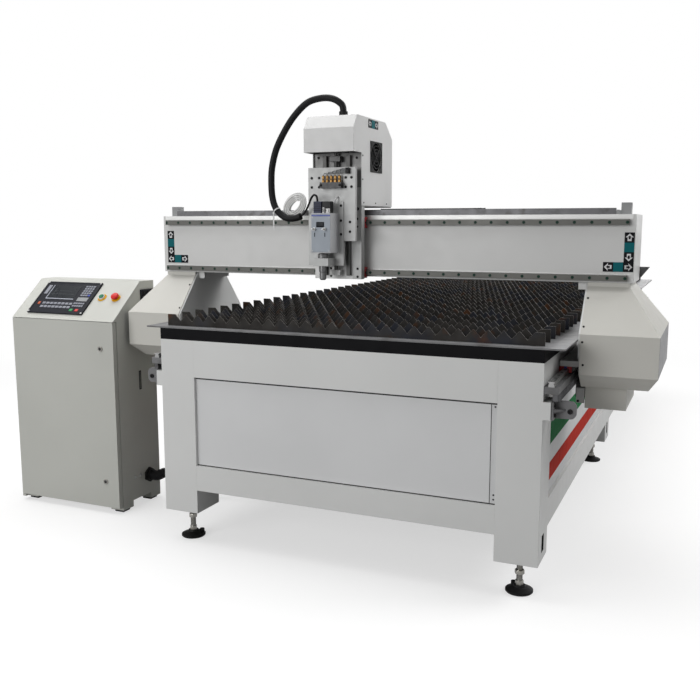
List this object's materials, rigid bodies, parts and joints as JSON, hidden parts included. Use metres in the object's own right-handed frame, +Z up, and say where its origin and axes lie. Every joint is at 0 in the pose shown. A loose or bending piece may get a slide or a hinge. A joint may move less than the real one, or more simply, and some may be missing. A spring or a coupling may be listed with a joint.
{
  "type": "cnc plasma cutting table",
  "caption": "Gantry plasma cutting table with a serrated slat bed, rack drives, a screw-lifted torch head and a free-standing control console.",
  "frame": {"origin": "middle of the footprint of table and console together, on the floor", "axes": "+X from the console across the table, +Y along the table away from the operator, +Z up"},
  "size_m": [2.775, 3.8, 1.779],
  "materials": {
    "frame_paint": "light grey baked paint",
    "panel_paint": "white baked paint",
    "rim_paint": "black satin paint",
    "flange_steel": "grey paint",
    "slat_steel": "bare mild steel, heat-stained and lightly rusted",
    "tray_steel": "grey primer",
    "ground_steel": "ground bearing steel",
    "gear_steel": "milled steel, lightly oiled",
    "buffer_rubber": "orange polyurethane",
    "foot_plastic": "black moulded",
    "zinc_steel": "zinc plated",
    "console_paint": "light grey fine-texture powder coat",
    "chassis_zinc": "galvanised sheet",
    "control_black": "black membrane panel",
    "bezel_yellow": "yellow switch bezel",
    "start_green": "green cap",
    "stop_red": "red cap",
    "cable_black": "black flexible sleeve",
    "tube_white": "white polyurethane tube",
    "chain_black": "black nylon links",
    "beam_white": "white gloss paint",
    "cover_ivory": "ivory fine-texture powder coat",
    "plate_aluminium": "milled aluminium",
    "motor_black": "black enamel",
    "box_paint": "pale blue-grey paint",
    "torch_metal": "turned metal barrel"
  },
  "bodies": {
    "base": {"legs": "frame_paint", "upper_beams": "frame_paint", "lower_beams": "frame_paint", "front_panel": "panel_paint", "side_panels": "panel_paint", "bed_rim": "rim_paint", "bed_flanges": "flange_steel", "slat_combs": "tray_steel", "slats": "slat_steel", "slag_trays": "tray_steel", "y_ledges": "flange_steel", "y_rails": "ground_steel", "y_racks": "gear_steel", "stop_brackets": "flange_steel", "stop_buffers": "buffer_rubber", "foot_pads": "foot_plastic", "foot_studs": "zinc_steel", "console_shell": "console_paint", "control_chassis": "chassis_zinc", "controller": "control_black", "button_bezels": "bezel_yellow", "vent_grille": "control_black", "conduit": "cable_black", "conduit_glands": "foot_plastic"},
    "door": {"console_door": "console_paint"},
    "upper_lock": {"upper_lock": "zinc_steel"},
    "lower_lock": {"lower_lock": "zinc_steel"},
    "start_button": {"start_button": "start_green"},
    "stop_button": {"stop_button": "stop_red"},
    "gantry": {"gantry_beam": "beam_white", "x_rails": "ground_steel", "x_rack": "gear_steel", "chain_tray": "flange_steel", "drag_chain": "chain_black", "gantry_legs": "frame_paint", "y_carriages": "plate_aluminium", "y_blocks": "gear_steel", "y_drives": "motor_black", "left_housing": "cover_ivory", "right_housing": "cover_ivory"},
    "y_pinion_left": {"y_pinion_left": "gear_steel"},
    "y_pinion_right": {"y_pinion_right": "gear_steel"},
    "x_carriage": {"x_saddle": "plate_aluminium", "x_blocks": "gear_steel", "z_rails": "ground_steel", "head_cover": "cover_ivory", "head_motors": "motor_black", "head_fan_frame": "chain_black", "hose_gland": "foot_plastic", "torch_hose": "cable_black", "tube_coil": "tube_white", "signal_cable": "cable_black"},
    "x_pinion": {"x_pinion": "gear_steel"},
    "z_screw": {"z_screw": "ground_steel"},
    "fan_rotor": {"head_fan_rotor": "chain_black"},
    "z_slide": {"z_plate": "plate_aluminium", "height_box": "box_paint", "torch": "torch_metal"},
    "toggle_left": {"toggle_left": "zinc_steel"},
    "toggle_right": {"toggle_right": "zinc_steel"}
  },
  "joints": [
    {"name": "gantry_slide", "type": "slide", "parent": "base", "child": "gantry", "axis": [0, 1, 0], "range_m": [-0.23, 3.05]},
    {"name": "y_pinion_left_spin", "type": "hinge", "parent": "gantry", "child": "y_pinion_left", "pos_m": [-0.5375, -1.414, 0.715], "axis": [0, 0, 1], "range_deg": [-6480, 490]},
    {"name": "y_pinion_right_spin", "type": "hinge", "parent": "gantry", "child": "y_pinion_right", "pos_m": [1.1245, -1.414, 0.715], "axis": [0, 0, 1], "range_deg": [-490, 6480]},
    {"name": "x_slide", "type": "slide", "parent": "gantry", "child": "x_carriage", "axis": [1, 0, 0], "range_m": [-0.63, 0.87], "deforming": ["drag_chain"]},
    {"name": "x_pinion_spin", "type": "hinge", "parent": "x_carriage", "child": "x_pinion", "pos_m": [0.1735, -1.484, 1.326], "axis": [0, 0, 1], "range_deg": [-1850, 1340]},
    {"name": "z_slide", "type": "slide", "parent": "x_carriage", "child": "z_slide", "axis": [0, 0, 1], "range_m": [-0.115, 0.05], "deforming": ["signal_cable"]},
    {"name": "z_screw_spin", "type": "hinge", "parent": "x_carriage", "child": "z_screw", "pos_m": [0.1735, -1.613, 1.3], "axis": [0, 0, 1], "range_deg": [-4145, 1805]},
    {"name": "fan_spin", "type": "hinge", "parent": "x_carriage", "child": "fan_rotor", "pos_m": [0.2635, -1.457, 1.542], "axis": [1, 0, 0], "continuous": true},
    {"name": "toggle_left_tilt", "type": "hinge", "parent": "z_slide", "child": "toggle_left", "pos_m": [0.1325, -1.725, 1.261], "axis": [1, 0, 0], "range_deg": [-12, 12]},
    {"name": "toggle_right_tilt", "type": "hinge", "parent": "z_slide", "child": "toggle_right", "pos_m": [0.1755, -1.725, 1.261], "axis": [1, 0, 0], "range_deg": [-12, 12]},
    {"name": "door_hinge", "type": "hinge", "parent": "base", "child": "door", "pos_m": [-1.3785, -1.743, 0.45], "axis": [0, 0, -1], "range_deg": [0, 110]},
    {"name": "upper_lock_turn", "type": "hinge", "parent": "door", "child": "upper_lock", "pos_m": [-0.8925, -1.751, 0.743], "axis": [0, 1, 0], "range_deg": [0, 90]},
    {"name": "lower_lock_turn", "type": "hinge", "parent": "door", "child": "lower_lock", "pos_m": [-0.8925, -1.751, 0.146], "axis": [0, 1, 0], "range_deg": [0, 90]},
    {"name": "start_press", "type": "slide", "parent": "base", "child": "start_button", "axis": [0, 0.644, -0.765], "range_m": [0, 0.004], "stiffness_N_per_m": 400},
    {"name": "stop_press", "type": "slide", "parent": "base", "child": "stop_button", "axis": [0, 0.644, -0.765], "range_m": [0, 0.005], "stiffness_N_per_m": 600}
  ],
  "couplings": [
    {"joint": "y_pinion_left_spin", "follows": "gantry_slide", "rad_per_m": -37.037},
    {"joint": "y_pinion_right_spin", "follows": "gantry_slide", "rad_per_m": 37.037},
    {"joint": "x_pinion_spin", "follows": "x_slide", "rad_per_m": -37.037},
    {"joint": "z_screw_spin", "follows": "z_slide", "rad_per_m": 628.32}
  ]
}
